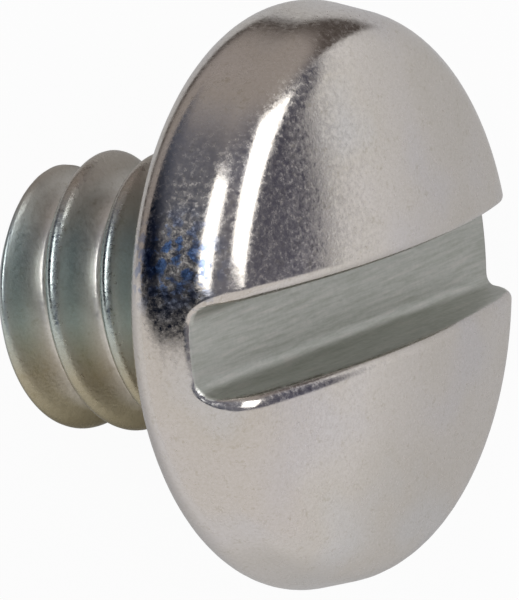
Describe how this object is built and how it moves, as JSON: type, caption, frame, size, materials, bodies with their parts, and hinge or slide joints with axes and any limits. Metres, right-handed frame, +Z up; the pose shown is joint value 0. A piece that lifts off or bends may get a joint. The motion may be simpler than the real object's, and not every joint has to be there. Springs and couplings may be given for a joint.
{
  "type": "binding head machine screw",
  "caption": "Short slotted machine screw with a wide, low binding head, an undercut bearing face and a right-hand thread, in zinc plated steel.",
  "frame": {"origin": "on the table, under the middle of the lying screw's bounding box", "axes": "+Z up from the table; the screw's axis lies in the XZ plane, its head towards +X and raised 32 degrees above the table; Y is across the head"},
  "size_m": [0.0064, 0.0072, 0.0065],
  "materials": {
    "zinc_plated_steel": "bright zinc plate"
  },
  "bodies": {
    "root": {"machine_screw": "zinc_plated_steel"}
  },
  "joints": []
}
